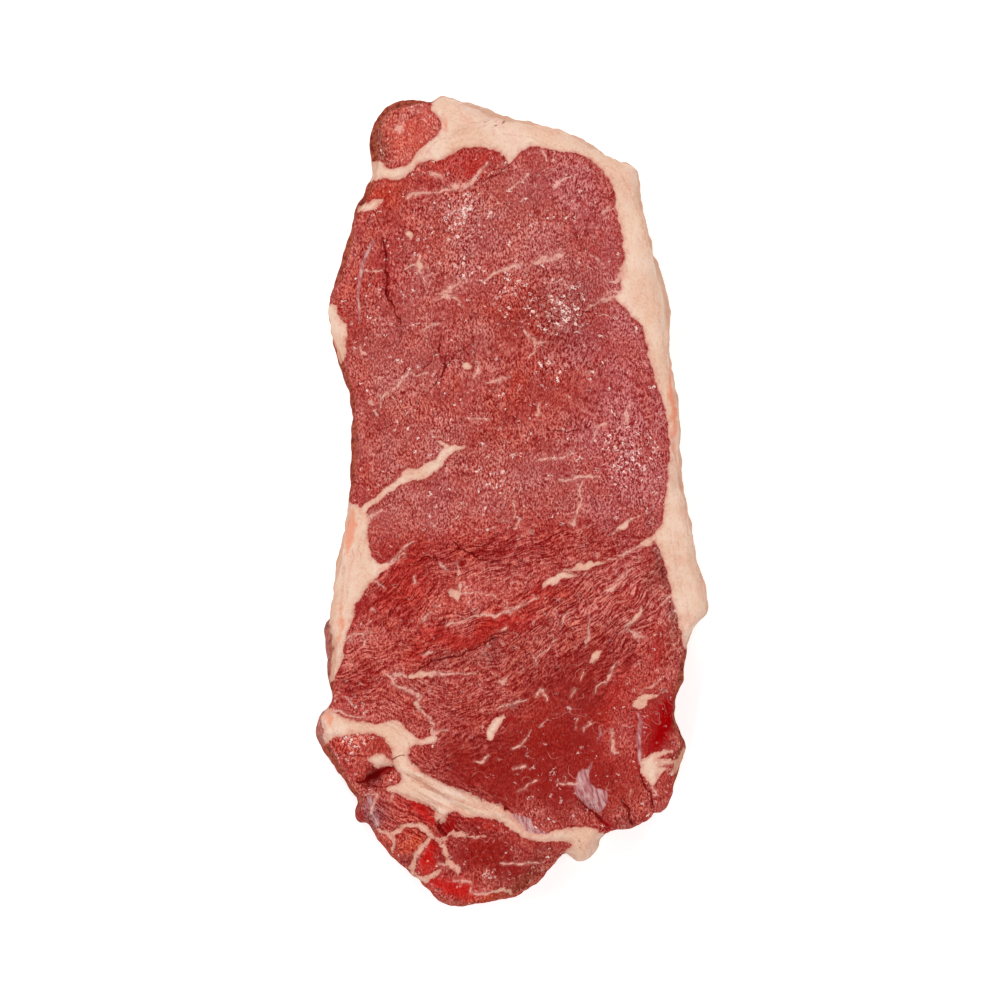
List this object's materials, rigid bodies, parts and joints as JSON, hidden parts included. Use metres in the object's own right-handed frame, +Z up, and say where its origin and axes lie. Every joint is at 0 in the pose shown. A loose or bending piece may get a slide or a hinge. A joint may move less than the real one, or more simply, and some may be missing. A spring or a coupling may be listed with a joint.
{
  "type": "new york strip steak",
  "caption": "Raw boneless strip steak slice with a fat cap along its outer edge, a fat seam and a ragged tail, lying flat on its lower cut face.",
  "frame": {"origin": "centre of the steak's outline box, on the plane that its lower cut face rests on", "axes": "+Y towards the thick end of the loin with the small cap muscle, +X towards the fat cap's side, +Z up through the slice"},
  "size_m": [0.1112, 0.23, 0.027],
  "materials": {
    "lean": "moist red beef, fine grain, thin white marbling",
    "fat": "waxy cream beef fat, faint pink streaks"
  },
  "bodies": {
    "root": {"loin_lean": "lean", "tail_lean": "lean", "cap_muscle": "lean", "fat_cap": "fat", "edge_fat": "fat", "seam_fat": "fat"}
  },
  "joints": []
}
